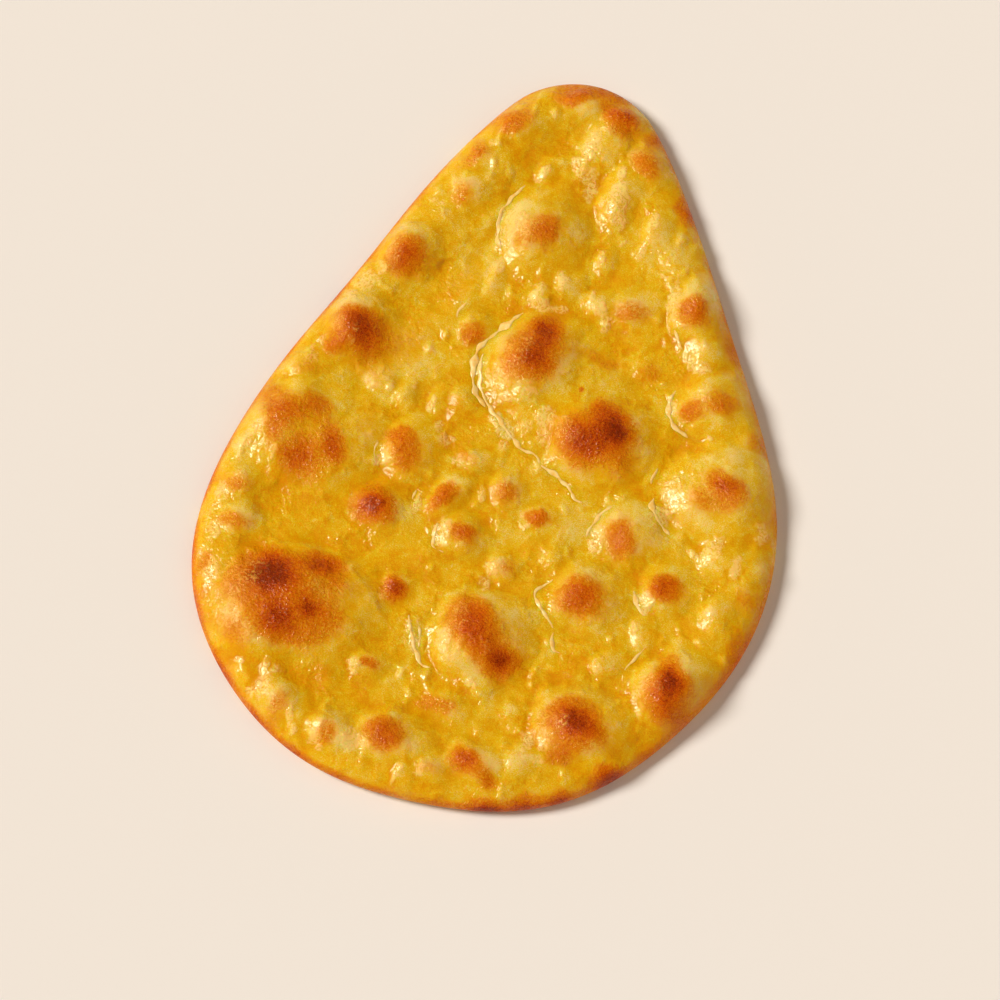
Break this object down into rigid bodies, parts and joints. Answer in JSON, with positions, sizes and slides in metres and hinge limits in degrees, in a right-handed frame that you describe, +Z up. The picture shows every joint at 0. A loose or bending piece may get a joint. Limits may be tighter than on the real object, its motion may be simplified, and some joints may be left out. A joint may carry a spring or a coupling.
{
  "type": "naan bread",
  "caption": "Teardrop naan flatbread with a puffed rim, blistered top and flat underside, resting as served.",
  "frame": {"origin": "middle of the bread's box, on the surface that it rests on", "axes": "+Y along the bread towards its narrow tip, +Z up through its thickness"},
  "size_m": [0.1884, 0.2574, 0.0167],
  "materials": {
    "naan_crust": "buttered baked crust with browned blisters"
  },
  "bodies": {
    "root": {"naan": "naan_crust"}
  },
  "joints": []
}
